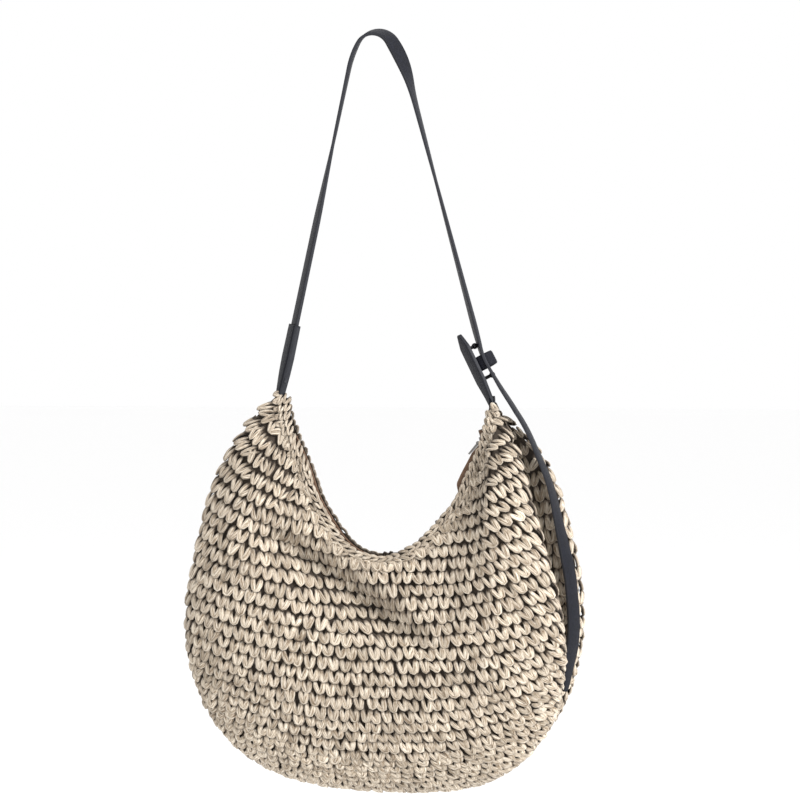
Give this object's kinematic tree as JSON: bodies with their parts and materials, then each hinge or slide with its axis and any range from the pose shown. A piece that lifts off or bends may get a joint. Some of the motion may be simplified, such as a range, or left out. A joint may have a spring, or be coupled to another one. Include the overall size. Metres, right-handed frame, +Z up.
{
  "type": "hobo bag",
  "caption": "Crescent-shaped crocheted raffia hobo bag with a U-shaped zipped mouth, hanging from a dark leather shoulder strap that buttons onto a ball-stud tab.",
  "frame": {"origin": "centre of the round underside of the strap's arch, where a hook or rail carries the bag", "axes": "+X to the wearer's right seen from the front, +Y from the front panel to the back panel, +Z up"},
  "size_m": [0.3916, 0.108, 0.7624],
  "materials": {
    "raffia": "matte crocheted natural straw",
    "strap_leather": "fine-grained charcoal leather",
    "lining_cloth": "plain woven cotton",
    "zip_tape": "twill tape",
    "zip_coil": "moulded coil",
    "zip_metal": "dark nickel",
    "stud_metal": "blackened metal"
  },
  "bodies": {
    "strap": {"shoulder_strap": "strap_leather", "left_sleeve": "strap_leather", "tab_stud_ply": "strap_leather", "tab_face_ply": "strap_leather", "lower_stud": "stud_metal", "upper_stud": "stud_metal", "keeper_loop": "strap_leather"},
    "bag": {"front_panel": "raffia", "back_panel": "raffia", "front_rim": "raffia", "back_rim": "raffia", "front_lining": "lining_cloth", "back_lining": "lining_cloth", "zip_tape_front": "zip_tape", "zip_tape_back": "zip_tape", "zip_coil_front": "zip_coil", "zip_coil_back": "zip_coil", "zip_stop_left": "zip_metal", "zip_stop_right": "zip_metal", "left_anchor": "strap_leather", "right_anchor": "strap_leather", "strap_bend": "strap_leather"},
    "slider": {"zip_slider": "zip_metal"},
    "pull": {"zip_pull": "zip_metal"},
    "tail": {"strap_tail": "strap_leather"}
  },
  "joints": [
    {"name": "bag_swing", "type": "hinge", "parent": "strap", "child": "bag", "pos_m": [0, 0, -0.349], "axis": [1, 0, 0], "range_deg": [-90, 90]},
    {"name": "zip_slide", "type": "hinge", "parent": "bag", "child": "slider", "pos_m": [0.012, 0, -0.411], "axis": [0, 1, 0], "range_deg": [0, 202]},
    {"name": "pull_flip", "type": "hinge", "parent": "slider", "child": "pull", "pos_m": [0.10377, 0, -0.39065], "axis": [0, 1, 0], "range_deg": [-48, 120]},
    {"name": "tail_lift", "type": "hinge", "parent": "bag", "child": "tail", "pos_m": [0.1418, 0, -0.359], "axis": [0, -1, 0], "range_deg": [0, 70]}
  ]
}
